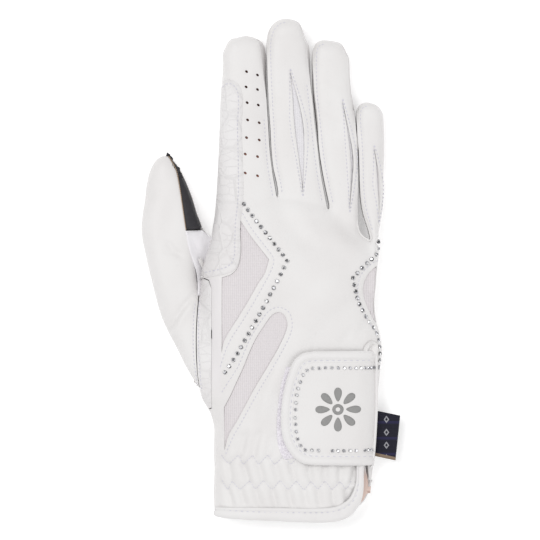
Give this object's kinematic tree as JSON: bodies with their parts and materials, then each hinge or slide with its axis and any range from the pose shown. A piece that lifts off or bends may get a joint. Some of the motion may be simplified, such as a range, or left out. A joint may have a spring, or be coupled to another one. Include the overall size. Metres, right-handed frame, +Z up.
{
  "type": "horse riding glove",
  "caption": "Right-hand riding glove in pale leather with stretch inserts, a wrist strap, a gathered cuff and rows of crystals, lying palm down.",
  "frame": {"origin": "middle of the footprint of the glove, on the ground that it lies on", "axes": "+Y from the hem to the fingertips, +Z up from the palm through the back of the hand"},
  "size_m": [0.1222, 0.2378, 0.0289],
  "materials": {
    "back_panel": "smooth pale leather",
    "palm_panel": "smooth pale leather",
    "side_strip": "crackled pale leather",
    "thumb_shell": "smooth pale leather",
    "thumb_touch_insert": "dark grained leather",
    "index_middle_fourchette": "smooth pale leather",
    "middle_ring_fourchette": "smooth pale leather",
    "ring_little_fourchette": "smooth pale leather",
    "index_reinforcement": "crackled pale leather",
    "large_stretch_insert": "ribbed stretch cloth",
    "small_stretch_insert": "ribbed stretch cloth",
    "outer_stretch_insert": "ribbed stretch cloth",
    "middle_flex_insert": "ribbed stretch cloth",
    "ring_flex_insert": "ribbed stretch cloth",
    "little_flex_insert": "ribbed stretch cloth",
    "hem_binding": "smooth pale leather",
    "wrist_strap": "smooth pale leather",
    "strap_border": "padded pale leather",
    "loop_pad": "looped nap",
    "woven_label": "dark woven cloth",
    "crystal_row_thumb_side": "cut crystal",
    "crystal_row_outer_side": "cut crystal",
    "crystal_row_strap": "cut crystal",
    "strap_ornament": "grey printed foil"
  },
  "bodies": {
    "root": {"back_panel": "back_panel", "palm_panel": "palm_panel", "side_strip": "side_strip", "thumb_shell": "thumb_shell", "thumb_touch_insert": "thumb_touch_insert", "index_middle_fourchette": "index_middle_fourchette", "middle_ring_fourchette": "middle_ring_fourchette", "ring_little_fourchette": "ring_little_fourchette", "index_reinforcement": "index_reinforcement", "large_stretch_insert": "large_stretch_insert", "small_stretch_insert": "small_stretch_insert", "outer_stretch_insert": "outer_stretch_insert", "middle_flex_insert": "middle_flex_insert", "ring_flex_insert": "ring_flex_insert", "little_flex_insert": "little_flex_insert", "hem_binding": "hem_binding", "wrist_strap": "wrist_strap", "strap_border": "strap_border", "loop_pad": "loop_pad", "woven_label": "woven_label", "crystal_row_thumb_side": "crystal_row_thumb_side", "crystal_row_outer_side": "crystal_row_outer_side", "crystal_row_strap": "crystal_row_strap", "strap_ornament": "strap_ornament"}
  },
  "joints": []
}
